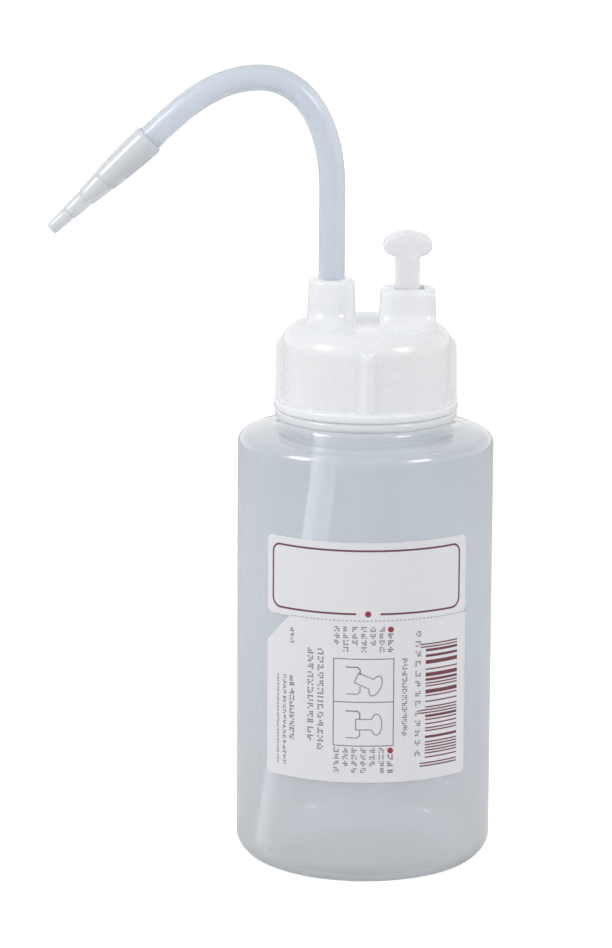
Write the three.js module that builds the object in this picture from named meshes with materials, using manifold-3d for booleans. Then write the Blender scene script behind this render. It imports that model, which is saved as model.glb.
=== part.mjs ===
// Laboratory wash bottle, 250 mL, with a bent spout, a push-on jet tip and a tilting vent cock.
// Millimetres, +Z up. The origin is on the bottle's axis, in the plane it stands on.
// The front, where the labels are, faces -Y, and the spout points to -X.
import * as THREE from 'three';
import { mergeVertices } from 'three/addons/utils/BufferGeometryUtils.js';
import Module from 'manifold-3d';

const wasm = await Module();
wasm.setup();

// ---- driving dimensions ----

const GAP = 0.3; // clearance between neighbouring pieces
const QUARTER = Math.PI / 2;
const TURN = 2 * Math.PI;
const degrees = THREE.MathUtils.degToRad;

const BOTTLE = {
  radius: 31,
  wall: 1,
  baseCornerWidth: 10, // outer rounding between base and side, which is wider than high
  baseCornerHeight: 7,
  shoulderCorner: 3, // outer rounding between side and shoulder
  shoulderBend: 104, // height where the shoulder's rounding starts
  shoulderRise: 3.2, // climb of the sloping shoulder from its rounding to the bead
  coveReach: 2.6, // hollow rounding between shoulder and bead
  coveHeight: 2.2,
  beadRadius: 22, // raised ring that the cap closes down on
  beadHeight: 2.4,
  beadEdge: 0.8, // chamfer of the bead's edges
  neckRadius: 16.9,
  neckWall: 1.5,
  rim: 128.5, // height of the neck's open edge
};
const SHOULDER_TOP = BOTTLE.shoulderBend + BOTTLE.shoulderCorner + BOTTLE.shoulderRise;
const BEAD_TOP = SHOULDER_TOP + BOTTLE.beadHeight;

const THREAD = {
  pitch: 4,
  turns: 1.5,
  start: 118.6, // height of the bottle thread's first end
  height: 1.3,
  rootWidth: 1.8,
  crestWidth: 0.8,
  bite: 0.8, // how far a thread's root sinks into its wall
  stepsPerTurn: 24,
};

// Sides of the round bodies.
const SIDES = { bottle: 48, cap: 48, gasket: 36, bore: 32, tip: 16, seat: 24, pin: 16, vent: 12 };

const GASKET = { inner: 14.6, outer: 18.3, thickness: 1.6 };

const CAP = {
  bottom: BEAD_TOP + GAP,
  innerRadius: 18.7,
  skirtRadius: 20.6,
  flangeRadius: 22.3,
  flangeHeight: 1.9,
  flangeEdge: 0.5, // chamfer of the flange's upper edge
  deckCorner: 5, // rounding between skirt and deck
  deckThickness: 2.5,
};
const DECK_UNDER = BOTTLE.rim + GASKET.thickness + 2 * GAP;
const DECK_TOP = DECK_UNDER + CAP.deckThickness;

const RIB = { count: 4, radius: 22, width: 2.4, top: 129.8, rounding: 1.4, bite: 1 };

// Bosses on the deck: a plan with rounded corners that runs out into the deck at front and back.
// footCorner is how much the corners grow for each millimetre of that.
const BOSS = { bite: 2.2, lift: 0.05, runOut: 6, runUp: 4, footCorner: 0.65, cornerSteps: 5 };

const TUBE = { x: -8.5, radius: 3.15, bore: 2.1, sides: 12, steps: 48 };

const SPOUT_BOSS = {
  x: TUBE.x,
  halfWidth: 5.95, // at its foot
  halfDepth: 5.95,
  corner: 5.95,
  draft: 0.45, // how much narrower each side is at the top
  rounding: 1, // rounding of the top edges
  top: 144.2,
  bore: 3.45,
};

// The tube's centre line: bent spout above, slanted dip tube below, joined by a straight run.
const SPOUT = {
  bendStart: 166, // upper end of the straight run
  straight: 44,
  apex: new THREE.Vector3(-25.8, 0, 192.7),
  mouth: new THREE.Vector3(-52.2, 0, 177.9), // where the jet tip's wide end sits
  drop: degrees(43), // slope of the jet tip below the horizontal
  mouthHandle: 9, // lengths of the curve's handles
  outerApexHandle: 12,
  innerApexHandle: 10.5,
  bendHandle: 15.5,
};
const DIP = {
  drop: 119,
  lean: 15.1,
  upperHandle: 27,
  lowerHandle: new THREE.Vector3(5.6, 0, 38),
};

const TIP = {
  length: 32.5,
  socket: 3.4,
  socketDepth: 11.5,
  socketShoulder: 1.2, // how far the bore narrows past the socket
  insertion: 11, // how far the tube reaches into the tip
  endBore: 0.75,
  wideEdge: 0.6, // chamfers of its two ends
  endEdge: 0.3,
  // distance from the wide end, radius just before the step, radius just after it
  steps: [[14.9, 3.1, 2.85], [21.1, 2.4, 2.15], [26.6, 1.95, 1.75]],
  wideRadius: 3.85,
  endRadius: 1.5,
};

const COCK = {
  x: 9.75,
  pivot: 140.1, // height of the trunnions' axis
  stemWidth: 5.8,
  thickness: 5.6, // along Y
  headWidth: 11.8,
  headMiddle: 12.05, // height of its widest line above the pivot
  headRise: 3.6, // how far it reaches above that line
  headFall: 2.6, // and below it
  trunnionRadius: 1.2,
  trunnionLength: 1.5,
  portWidth: 1.2, // air groove round the foot
  portDepth: 0.8,
  portEnd: degrees(12), // how far the groove runs past the foot's lowest point
};

const COCK_BOSS = {
  x: 9.9,
  halfWidth: 6.9,
  halfDepth: 5.75,
  corner: 3,
  draft: 0.35,
  rounding: 1.5,
  top: 142.1,
  tiltRoom: 1.15, // room for the leaning stem
  ventRadius: 0.8,
};

const LABEL = {
  radius: 31.1,
  thickness: 0.15,
  centre: degrees(0.9), // its middle, round from the front
  halfAngle: degrees(49.6),
  bottom: 27,
  tear: 66.75, // height of the tear line between the two panels
  top: 85.9,
  tearGap: 0.15,
  cutWidth: 7,
  cutHeight: 7, // slanted corner of the lower panel
};

// ---- helpers ----

function solid(geometry) {
  const bare = geometry.clone();
  bare.deleteAttribute('normal');
  bare.deleteAttribute('uv');
  const merged = mergeVertices(bare, 1e-4);
  const corners = merged.index.array;
  const triangles = [];
  for (let i = 0; i < corners.length; i += 3) {
    const [a, b, c] = corners.subarray(i, i + 3);
    if (a !== b && b !== c && c !== a) {
      triangles.push(a, b, c);
    }
  }
  return new wasm.Manifold(new wasm.Mesh({
    numProp: 3,
    vertProperties: Float32Array.from(merged.attributes.position.array),
    triVerts: Uint32Array.from(triangles),
  }));
}

function geometryOf(manifold) {
  const mesh = manifold.getMesh();
  const geometry = new THREE.BufferGeometry();
  geometry.setAttribute('position', new THREE.BufferAttribute(mesh.vertProperties, 3));
  geometry.setIndex(new THREE.BufferAttribute(mesh.triVerts, 1));
  return geometry;
}

function plastic(color, roughness) {
  return new THREE.MeshStandardMaterial({ color, roughness, metalness: 0 });
}

function piece(name, shape, material) {
  const geometry = shape.isBufferGeometry ? shape : geometryOf(shape);
  const mesh = new THREE.Mesh(geometry, material);
  mesh.name = name;
  return mesh;
}

const at = (radius, height) => new THREE.Vector2(radius, height);

// Points of an elliptical arc, both ends included, with its angles in degrees.
function ellipse(centre, radiusX, radiusY, from, to, steps) {
  const points = [];
  for (let i = 0; i <= steps; i += 1) {
    const angle = degrees(from + (to - from) * i / steps);
    points.push(at(centre.x + radiusX * Math.cos(angle), centre.y + radiusY * Math.sin(angle)));
  }
  return points;
}

function arc(centre, radius, from, to, steps) {
  return ellipse(centre, radius, radius, from, to, steps);
}

// Turned body about the Z axis from an anticlockwise (radius, height) profile.
function turned(profile, segments) {
  return new THREE.LatheGeometry(profile, segments).rotateX(QUARTER);
}

// Prism of an outline drawn in the XZ plane, centred on y = 0.
function prismAcross(outline, depth, curveSegments = 12) {
  const geometry = new THREE.ExtrudeGeometry(outline, { depth, bevelEnabled: false, curveSegments });
  return geometry.rotateX(QUARTER).translate(0, depth / 2, 0);
}

function cylinderUp(x, radius, from, to, sides) {
  const geometry = new THREE.CylinderGeometry(radius, radius, to - from, sides);
  return geometry.rotateX(QUARTER).translate(x, 0, (from + to) / 2);
}

function box(lowX, highX, depth, lowZ, highZ) {
  const geometry = new THREE.BoxGeometry(highX - lowX, depth, highZ - lowZ);
  return geometry.translate((lowX + highX) / 2, 0, (lowZ + highZ) / 2);
}

// Closed body through level outlines with equal numbers of points, from the lowest to the highest.
function lofted(levels) {
  const positions = [];
  for (const { outline, z } of levels) {
    for (const point of outline) {
      positions.push(point.x, point.y, z);
    }
  }
  const count = levels[0].outline.length;
  const last = (levels.length - 1) * count;
  const triangles = [];
  for (let low = 0; low < last; low += count) {
    for (let i = 0; i < count; i += 1) {
      const next = (i + 1) % count;
      triangles.push(low + i, low + next, low + count + next);
      triangles.push(low + i, low + count + next, low + count + i);
    }
  }
  for (let i = 1; i < count - 1; i += 1) {
    triangles.push(0, i + 1, i, last, last + i, last + i + 1);
  }
  const geometry = new THREE.BufferGeometry();
  geometry.setAttribute('position', new THREE.Float32BufferAttribute(positions, 3));
  geometry.setIndex(triangles);
  return geometry;
}

// Helix about the Z axis that keeps its section upright and facing the axis.
class Helix extends THREE.Curve {
  constructor(radius, start, turns) {
    super();
    Object.assign(this, { radius, start, turns });
  }

  getPoint(t, target = new THREE.Vector3()) {
    const angle = t * this.turns * TURN;
    const height = this.start + t * this.turns * THREAD.pitch;
    return target.set(this.radius * Math.cos(angle), this.radius * Math.sin(angle), height);
  }

  computeFrenetFrames(segments) {
    const frames = { tangents: [], normals: [], binormals: [] };
    for (let i = 0; i <= segments; i += 1) {
      const angle = i / segments * this.turns * TURN;
      const outward = new THREE.Vector3(Math.cos(angle), Math.sin(angle), 0);
      const down = new THREE.Vector3(0, 0, -1);
      frames.normals.push(outward);
      frames.binormals.push(down);
      frames.tangents.push(new THREE.Vector3().crossVectors(outward, down));
    }
    return frames;
  }
}

// Thread whose root is at rootRadius; it points outward when outward is 1 and inward when it is -1.
function thread(rootRadius, outward, start) {
  const base = -THREAD.bite * outward;
  const crest = THREAD.height * outward;
  const section = new THREE.Shape([
    at(base, -THREAD.rootWidth / 2),
    at(crest, -THREAD.crestWidth / 2),
    at(crest, THREAD.crestWidth / 2),
    at(base, THREAD.rootWidth / 2),
  ]);
  return new THREE.ExtrudeGeometry(section, {
    steps: THREAD.turns * THREAD.stepsPerTurn,
    extrudePath: new Helix(rootRadius, start, THREAD.turns),
  });
}

// ---- bottle ----

function bottle() {
  const { radius, wall, baseCornerWidth, baseCornerHeight, shoulderCorner, shoulderBend } = BOTTLE;
  const { coveReach, coveHeight, beadRadius, beadEdge, neckRadius, neckWall, rim } = BOTTLE;
  const neckBore = neckRadius - neckWall;
  const baseCentre = at(radius - baseCornerWidth, baseCornerHeight);
  const bendCentre = at(radius - shoulderCorner, shoulderBend);
  const coveCentre = at(beadRadius - beadEdge + coveReach, SHOULDER_TOP);
  const profile = [
    at(0, 0),
    ...ellipse(baseCentre, baseCornerWidth, baseCornerHeight, -90, 0, 6),
    ...arc(bendCentre, shoulderCorner, 0, 80, 4),
    ...ellipse(coveCentre, coveReach, coveHeight, 270, 180, 3),
    at(beadRadius, SHOULDER_TOP + beadEdge),
    at(beadRadius, BEAD_TOP - beadEdge),
    at(beadRadius - beadEdge, BEAD_TOP),
    at(neckRadius, BEAD_TOP),
    at(neckRadius, rim),
    at(neckBore, rim),
    at(neckBore, SHOULDER_TOP + wall),
    ...ellipse(coveCentre, coveReach + wall, coveHeight + wall, 180, 270, 3),
    ...arc(bendCentre, shoulderCorner - wall, 80, 0, 3),
    ...ellipse(baseCentre, baseCornerWidth - wall, baseCornerHeight - wall, 0, -90, 5),
    at(0, wall),
  ];
  const neckThread = solid(thread(neckRadius, 1, THREAD.start));
  return solid(turned(profile, SIDES.bottle)).add(neckThread);
}

// ---- cap ----

function capShell() {
  const { bottom, innerRadius, skirtRadius, flangeRadius, flangeHeight, flangeEdge, deckCorner } = CAP;
  const flangeTop = bottom + flangeHeight;
  const cornerCentre = at(skirtRadius - deckCorner, DECK_TOP - deckCorner);
  return turned([
    at(0, DECK_UNDER),
    at(innerRadius, DECK_UNDER),
    at(innerRadius, bottom),
    at(flangeRadius, bottom),
    at(flangeRadius, flangeTop - flangeEdge),
    at(flangeRadius - flangeEdge, flangeTop),
    at(skirtRadius, flangeTop + flangeEdge),
    ...arc(cornerCentre, deckCorner, 0, 90, 6),
    at(0, DECK_TOP),
  ], SIDES.cap);
}

// Upright grip rib on the skirt, drawn at azimuth 0.
function gripRib() {
  const { radius, width, top, rounding, bite } = RIB;
  const root = CAP.skirtRadius - bite;
  const foot = CAP.bottom + CAP.flangeHeight / 2;
  const outline = new THREE.Shape();
  outline.moveTo(root, foot);
  outline.lineTo(radius, foot);
  outline.lineTo(radius, top - rounding);
  outline.absarc(radius - rounding, top - rounding, rounding, 0, QUARTER, false);
  outline.lineTo(root, top);
  return prismAcross(outline, width, 4);
}

// Rounded rectangle about (x, 0), anticlockwise; its number of points doesn't depend on its size.
function roundedPlan(x, halfX, halfY, corner) {
  const left = x - halfX + corner;
  const right = x + halfX - corner;
  const back = halfY - corner;
  return [
    ...arc(at(right, back), corner, 0, 90, BOSS.cornerSteps),
    ...arc(at(left, back), corner, 90, 180, BOSS.cornerSteps),
    ...arc(at(left, -back), corner, 180, 270, BOSS.cornerSteps),
    ...arc(at(right, -back), corner, 270, 360, BOSS.cornerSteps),
  ];
}

// Boss on the deck, with tapered sides, a rounded top and a foot that runs out to front and back.
function boss({ x, halfWidth, halfDepth, corner, draft, rounding, top }) {
  const level = (z, reach, inset) => {
    const taper = inset + draft * Math.max(0, z - DECK_TOP) / (top - DECK_TOP);
    const halfX = halfWidth - taper;
    const halfY = halfDepth - taper + reach;
    const round = Math.min(corner - taper + BOSS.footCorner * reach, halfX);
    return { outline: roundedPlan(x, halfX, halfY, round), z };
  };
  const footCentre = at(BOSS.runOut, DECK_TOP + BOSS.lift + BOSS.runUp);
  const foot = ellipse(footCentre, BOSS.runOut, BOSS.runUp, 270, 180, 4);
  const edge = arc(at(-rounding, top - rounding), rounding, 0, 90, 3);
  return lofted([
    level(DECK_TOP - BOSS.bite, BOSS.runOut, 0),
    ...foot.map((point) => level(point.y, point.x, 0)),
    ...edge.map((point) => level(point.y, 0, -point.x)),
  ]);
}

// Everything that the cock's boss is hollowed out with, as one tool.
function cockPocket() {
  const { top, tiltRoom, ventRadius } = COCK_BOSS;
  const { x, pivot, stemWidth, thickness, trunnionRadius, trunnionLength } = COCK;
  const left = x - stemWidth / 2 - GAP;
  const right = x + stemWidth / 2 + tiltRoom;
  const pocketDepth = thickness + 2 * GAP;
  const socketRadius = stemWidth / 2 + GAP;
  const well = solid(box(left, right, pocketDepth, pivot, top + 1));
  const seat = new THREE.CylinderGeometry(socketRadius, socketRadius, pocketDepth, SIDES.seat);
  seat.translate(x, 0, pivot);
  const bearingRadius = trunnionRadius + GAP;
  const bearingSpan = thickness + 2 * trunnionLength + 2 * GAP;
  const bearing = new THREE.CylinderGeometry(bearingRadius, bearingRadius, bearingSpan, SIDES.pin);
  bearing.translate(x, 0, pivot);
  const vent = solid(cylinderUp(x, ventRadius, DECK_UNDER - 1, pivot, SIDES.vent));
  return well.add(solid(seat)).add(solid(bearing)).add(vent);
}

function cap() {
  let body = solid(capShell());
  for (let i = 0; i < RIB.count; i += 1) {
    body = body.add(solid(gripRib().rotateZ(i / RIB.count * TURN)));
  }
  const innerThread = thread(CAP.innerRadius, -1, THREAD.start - THREAD.pitch / 2);
  const tubeBore = cylinderUp(TUBE.x, SPOUT_BOSS.bore, DECK_UNDER - 1, SPOUT_BOSS.top + 1, SIDES.bore);
  return body
    .add(solid(boss(SPOUT_BOSS)))
    .add(solid(boss(COCK_BOSS)))
    .add(solid(innerThread))
    .subtract(solid(tubeBore))
    .subtract(cockPocket());
}

function gasket() {
  const { inner, outer, thickness } = GASKET;
  const low = BOTTLE.rim + GAP;
  const high = low + thickness;
  const section = [at(inner, low), at(outer, low), at(outer, high), at(inner, high), at(inner, low)];
  return turned(section, SIDES.gasket);
}

// ---- spout ----

// Curve between two points that leaves and meets them along two handles.
function bend(from, fromHandle, toHandle, to) {
  return new THREE.CubicBezierCurve3(from, from.clone().add(fromHandle), to.clone().add(toHandle), to);
}

function spoutPath() {
  const { bendStart, straight, apex, mouth, drop } = SPOUT;
  const { mouthHandle, outerApexHandle, innerApexHandle, bendHandle } = SPOUT;
  const left = new THREE.Vector3(-1, 0, 0);
  const up = new THREE.Vector3(0, 0, 1);
  const jet = new THREE.Vector3(-Math.cos(drop), 0, -Math.sin(drop));
  const tubeEnd = mouth.clone().addScaledVector(jet, TIP.insertion);
  const bendFoot = new THREE.Vector3(TUBE.x, 0, bendStart);
  const dipStart = new THREE.Vector3(TUBE.x, 0, bendStart - straight);
  const dipEnd = new THREE.Vector3(TUBE.x - DIP.lean, 0, dipStart.z - DIP.drop);
  const along = (direction, length) => direction.clone().multiplyScalar(length);
  const path = new THREE.CurvePath();
  path.add(new THREE.LineCurve3(tubeEnd, mouth));
  path.add(bend(mouth, along(jet, -mouthHandle), along(left, outerApexHandle), apex));
  path.add(bend(apex, along(left, -innerApexHandle), along(up, bendHandle), bendFoot));
  path.add(new THREE.LineCurve3(bendFoot, dipStart));
  path.add(bend(dipStart, along(up, -DIP.upperHandle), DIP.lowerHandle, dipEnd));
  return path;
}

function tube() {
  const section = new THREE.Shape().absarc(0, 0, TUBE.radius, 0, TURN, false);
  section.holes.push(new THREE.Path().absarc(0, 0, TUBE.bore, 0, TURN, true));
  return new THREE.ExtrudeGeometry(section, {
    steps: TUBE.steps,
    curveSegments: TUBE.sides / 2, // an arc gets two sides for each
    extrudePath: spoutPath(),
  });
}

// Jet tip along +Z, with its wide end at z = 0.
function jetTip() {
  const { length, socket, socketDepth, socketShoulder, endBore, steps } = TIP;
  const { wideRadius, wideEdge, endRadius, endEdge } = TIP;
  const outside = [at(wideRadius - wideEdge, 0), at(wideRadius, wideEdge)];
  for (const [distance, before, after] of steps) {
    outside.push(at(before, distance), at(after, distance));
  }
  outside.push(at(endRadius, length - endEdge), at(endRadius - endEdge, length));
  const inside = [
    at(endBore, length),
    at(endBore, steps[1][0]),
    at(socket - socketShoulder, socketDepth + socketShoulder),
    at(socket, socketDepth),
    at(socket, 0),
  ];
  return turned([...outside, ...inside, outside[0]], SIDES.tip);
}

// ---- vent cock ----

// Thumb lever about its trunnions' axis: round foot, flat stem and wide oval head.
function ventCock() {
  const { stemWidth, thickness, headWidth, headMiddle, headRise, headFall } = COCK;
  const { trunnionRadius, trunnionLength, portWidth, portDepth, portEnd } = COCK;
  const half = stemWidth / 2;
  const neckAngle = Math.acos(stemWidth / headWidth);
  const outline = new THREE.Shape();
  outline.absarc(0, 0, half, 2 * QUARTER, 4 * QUARTER, false);
  const reach = headWidth / 2;
  outline.absellipse(0, headMiddle, reach, headFall, -neckAngle, 0, false, 0);
  outline.absellipse(0, headMiddle, reach, headRise, 0, 2 * QUARTER, false, 0);
  outline.absellipse(0, headMiddle, reach, headFall, 2 * QUARTER, 2 * QUARTER + neckAngle, false, 0);
  const body = solid(prismAcross(outline, thickness, 20));
  const span = thickness + 2 * trunnionLength;
  const trunnions = new THREE.CylinderGeometry(trunnionRadius, trunnionRadius, span, SIDES.pin);
  const sector = new THREE.Shape();
  sector.absarc(0, 0, half + 1, 2 * QUARTER, 3 * QUARTER + portEnd, false);
  sector.absarc(0, 0, half - portDepth, 3 * QUARTER + portEnd, 2 * QUARTER, true);
  const port = solid(prismAcross(sector, portWidth, 6));
  return body.subtract(port).add(solid(trunnions));
}

// ---- labels ----

// Band of the label between two heights, wrapped round the front of the bottle.
function labelBand(low, high) {
  const { radius, thickness, centre, halfAngle } = LABEL;
  const from = centre - halfAngle - QUARTER;
  const to = centre + halfAngle - QUARTER;
  const band = new THREE.Shape();
  band.absarc(0, 0, radius + thickness, from, to, false);
  band.absarc(0, 0, radius, to, from, true);
  const options = { depth: high - low, bevelEnabled: false, curveSegments: 20 };
  return new THREE.ExtrudeGeometry(band, options).translate(0, 0, low);
}

function instructionLabel() {
  const { bottom, tear, tearGap, radius, centre, halfAngle, cutWidth, cutHeight } = LABEL;
  const top = tear - tearGap;
  const edge = radius * Math.sin(centre - halfAngle);
  const corner = new THREE.Shape([
    at(edge - 2, top - cutHeight * (1 + 2 / cutWidth)),
    at(edge + cutWidth * (1 + 1 / cutHeight), top + 1),
    at(edge - 2, top + 1),
  ]);
  return solid(labelBand(bottom, top)).subtract(solid(prismAcross(corner, 2 * radius + 2)));
}

// ---- assembly ----

const washBottle = new THREE.Group();

const bottlePolymer = plastic(0xc6ced6, 0.38);
const capPolymer = plastic(0xe9ebee, 0.35);
const tubePolymer = plastic(0xccd6df, 0.3);

washBottle.add(
  piece('bottle', bottle(), bottlePolymer),
  piece('screw_cap', cap(), capPolymer),
  piece('cap_gasket', gasket(), plastic(0xf2f1ec, 0.6)),
  piece('spout_tube', tube(), tubePolymer),
  piece('name_label', labelBand(LABEL.tear, LABEL.top), plastic(0xe9eaef, 0.55)),
  piece('instruction_label', instructionLabel(), plastic(0xe6e7ec, 0.55)),
);

const tip = piece('jet_tip', jetTip(), plastic(0xdfe3ea, 0.35));
tip.position.copy(SPOUT.mouth);
tip.rotation.y = -(QUARTER + SPOUT.drop);
washBottle.add(tip);

const cock = piece('vent_cock', ventCock(), plastic(0xe4e4ea, 0.35));
cock.position.set(COCK.x, 0, COCK.pivot);
washBottle.add(cock);

export default washBottle;
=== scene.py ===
import math
import random

import bmesh
import bpy
from mathutils import Matrix, Vector


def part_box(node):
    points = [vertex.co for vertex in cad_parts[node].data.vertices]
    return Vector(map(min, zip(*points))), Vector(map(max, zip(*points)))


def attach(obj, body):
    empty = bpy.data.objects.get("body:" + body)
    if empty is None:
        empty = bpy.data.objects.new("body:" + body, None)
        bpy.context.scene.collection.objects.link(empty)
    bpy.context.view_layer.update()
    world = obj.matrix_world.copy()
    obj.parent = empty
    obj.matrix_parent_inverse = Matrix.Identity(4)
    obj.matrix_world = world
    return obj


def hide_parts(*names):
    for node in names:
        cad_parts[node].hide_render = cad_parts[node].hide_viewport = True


# Looks of a 250 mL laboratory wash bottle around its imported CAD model.
# Blender works in metres; the sizes below are in millimetres and mm() turns them over.

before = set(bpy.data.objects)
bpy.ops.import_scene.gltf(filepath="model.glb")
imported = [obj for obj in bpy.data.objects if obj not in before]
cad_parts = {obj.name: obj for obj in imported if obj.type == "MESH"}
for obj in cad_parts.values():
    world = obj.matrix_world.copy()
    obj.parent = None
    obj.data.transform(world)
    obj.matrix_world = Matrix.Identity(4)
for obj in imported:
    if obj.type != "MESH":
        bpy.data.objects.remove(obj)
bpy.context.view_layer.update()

MM = 0.001


def mm(*values):
    """A length or a point given in millimetres, in metres."""
    if len(values) == 1:
        return values[0] * MM
    return Vector(values) * MM


def low(node):
    """A CAD node's lowest corner in millimetres."""
    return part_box(node)[0] / MM


def high(node):
    """A CAD node's highest corner in millimetres."""
    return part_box(node)[1] / MM


# ---- sizes, from the frame where it holds them ----

BODY_R = high("bottle").x
RIM_Z = high("bottle").z
BODY_WALL = 0.9
BASE_CORNER_W = 10
BASE_CORNER_H = 7
SHOULDER_CORNER = 3
SHOULDER_BEND_Z = 104
SHOULDER_TOP_Z = 110.2
COVE_W = 2.6
COVE_H = 2.2
BEAD_R = 22
BEAD_TOP_Z = 112.6
NECK_R = 16.9
NECK_BORE = 15.4
THREAD_PITCH = 4
THREAD_TURNS = 1.5
THREAD_START_Z = 118.6
THREAD_HEIGHT = 1.3
THREAD_ROOT_HALF = 0.9
THREAD_CREST_HALF = 0.4
THREAD_FADE = 25  # degrees over which a thread runs out at each end
THREAD_STEPS = 128
SIDE_STEPS = 24

# The flange all but closes on the bead.
CAP_BOTTOM_Z = low("screw_cap").z - 0.2
CAP_INNER_R = 18.7
CAP_THREAD_DROP = 2  # how far the cap's thread starts below the neck's
GASKET_INNER_R = 14.6
SKIRT_R = 20.6
FLANGE_R = high("screw_cap").y
FLANGE_TOP_Z = CAP_BOTTOM_Z + 2.1
DECK_UNDER_Z = high("cap_gasket").z + 0.3
DECK_Z = DECK_UNDER_Z + 2.5
DECK_CORNER = 5
RIB_R = 22
RIB_HALF = 2.3
RIB_TOP_Z = 129.8
RIB_CROWN = 2.2
RIB_CROWN_RISE = 0.86
RUN_OUT = 6
RUN_UP = 4
FOOT_CORNER = 0.65

TUBE_X = -8.5
TUBE_R = high("spout_tube").y
TUBE_BORE = 2.1
TUBE_HOLE_R = 3.3
SPOUT_BOSS_R = 5.95
SPOUT_BOSS_TOP_Z = high("screw_cap").z
BEND_START_Z = 166
APEX = Vector((-25.8, 0, 192.7))
MOUTH = Vector((-52.2, 0, 177.9))
SPOUT_DROP = math.radians(43)
STRAIGHT = 44  # length of the straight run through the cap
DIP = Vector((-15.1, 0, -119))  # from the straight run's end to the tube's foot
TIP_LENGTH = 32.5
SOCKET_R = 3.4
JET_R = 0.75

COCK_X = 9.75
COCK_BOSS_X = 9.9
COCK_GAP = 0.15
LEAN_GAP = 1.15  # room on the right of the stem, for the cock to lean
SEAT_GAP = 0.3
PIN_R = 1.2
PIN_REACH = 1.5
BEARING_R = 1.5
BEARING_REACH = 1.6
VENT_R = 0.8
PIVOT_Z = 140.1
STEM_W = 5.8
COCK_T = 5.6
HEAD_W = 11.8
HEAD_UP = 12.05
HEAD_RISE = 3.6
HEAD_FALL = 2.6
COCK_BOSS_TOP_Z = 142.1

LABEL_CENTRE = math.radians(0.9)
LABEL_HALF = math.radians(49.6)
LABEL_BOTTOM_Z = low("instruction_label").z
LABEL_TEAR_Z = low("name_label").z
LABEL_TOP_Z = high("name_label").z
LABEL_R = BODY_R + 0.06
LABEL_THICK = 0.08
INK_R = LABEL_R + LABEL_THICK + 0.01
INK_THICK = 0.02
LABEL_CORNER_STEPS = 5
DOT_SIDES = 20
WRAP_STEP = 1.2  # width of the flat facets that a label layer is bent in


# ---- mesh helpers ----

def finish_mesh(name, bm, smooth_angle=35):
    """Makes an object of a bmesh in millimetres, with its faces pointing out."""
    bmesh.ops.scale(bm, vec=(MM, MM, MM), verts=bm.verts)
    bmesh.ops.recalc_face_normals(bm, faces=bm.faces)
    mesh = bpy.data.meshes.new(name)
    bm.to_mesh(mesh)
    bm.free()
    obj = bpy.data.objects.new(name, mesh)
    bpy.context.scene.collection.objects.link(obj)
    if smooth_angle:
        mesh.shade_smooth()
        mesh.set_sharp_from_angle(angle=math.radians(smooth_angle))
    return obj


def ellipse(cx, cy, rx, ry, start, end, steps):
    """Points of an elliptical arc, both ends included, angles in degrees."""
    points = []
    for i in range(steps + 1):
        angle = math.radians(start + (end - start) * i / steps)
        points.append((cx + rx * math.cos(angle), cy + ry * math.sin(angle)))
    return points


def arc(cx, cy, radius, start, end, steps):
    """Points of a circular arc, both ends included, angles in degrees."""
    return ellipse(cx, cy, radius, radius, start, end, steps)


def lathe(bm, profile, segments, closed=False):
    """Turns a (radius, height) profile about the Z axis; points on the axis become one vertex."""
    rings = []
    for r, z in profile:
        if r < 1e-6:
            rings.append([bm.verts.new((0, 0, z))])
            continue
        ring = []
        for k in range(segments):
            a = 2 * math.pi * k / segments
            ring.append(bm.verts.new((r * math.cos(a), r * math.sin(a), z)))
        rings.append(ring)
    pairs = list(zip(rings, rings[1:]))
    if closed:
        pairs.append((rings[-1], rings[0]))
    for one, two in pairs:
        for k in range(segments):
            n = (k + 1) % segments
            corners = [one[k % len(one)], one[n % len(one)], two[n % len(two)], two[k % len(two)]]
            unique = list(dict.fromkeys(corners))
            if len(unique) > 2:
                bm.faces.new(unique)


def lofted(name, rings):
    """Closed body through rings of (x, y, z) points, with flat ends."""
    bm = bmesh.new()
    made = [[bm.verts.new(point) for point in ring] for ring in rings]
    count = len(made[0])
    for one, two in zip(made, made[1:]):
        for k in range(count):
            n = (k + 1) % count
            bm.faces.new([one[k], one[n], two[n], two[k]])
    bm.faces.new(made[0])
    bm.faces.new(made[-1])
    bmesh.ops.remove_doubles(bm, verts=bm.verts, dist=1e-4)
    return finish_mesh(name, bm)


def boolean(target, tool, operation):
    """Joins or cuts target with tool, applied at once; the tool is removed."""
    modifier = target.modifiers.new(operation, "BOOLEAN")
    modifier.operation = operation
    modifier.object = tool
    modifier.solver = "EXACT"
    apply_modifiers(target)
    bpy.data.objects.remove(tool)


def apply_modifiers(obj):
    """Puts what the modifiers make into the object's own mesh."""
    graph = bpy.context.evaluated_depsgraph_get()
    made = bpy.data.meshes.new_from_object(obj.evaluated_get(graph))
    obj.modifiers.clear()
    obj.data = made


def bevel(obj, width, segments, angle):
    """Rounds an object's edges that turn by more than an angle in degrees."""
    modifier = obj.modifiers.new("round", "BEVEL")
    modifier.width = mm(width)
    modifier.segments = segments
    modifier.limit_method = "ANGLE"
    modifier.angle_limit = math.radians(angle)
    modifier.harden_normals = False
    apply_modifiers(obj)


def extruded(name, outline, depth):
    """Prism of an outline in the XZ plane, centred on y = 0."""
    bm = bmesh.new()
    front = bm.faces.new([bm.verts.new((x, -depth / 2, z)) for x, z in outline])
    moved = bmesh.ops.extrude_face_region(bm, geom=[front])["geom"]
    verts = [g for g in moved if isinstance(g, bmesh.types.BMVert)]
    bmesh.ops.translate(bm, vec=(0, depth, 0), verts=verts)
    return finish_mesh(name, bm)


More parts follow.
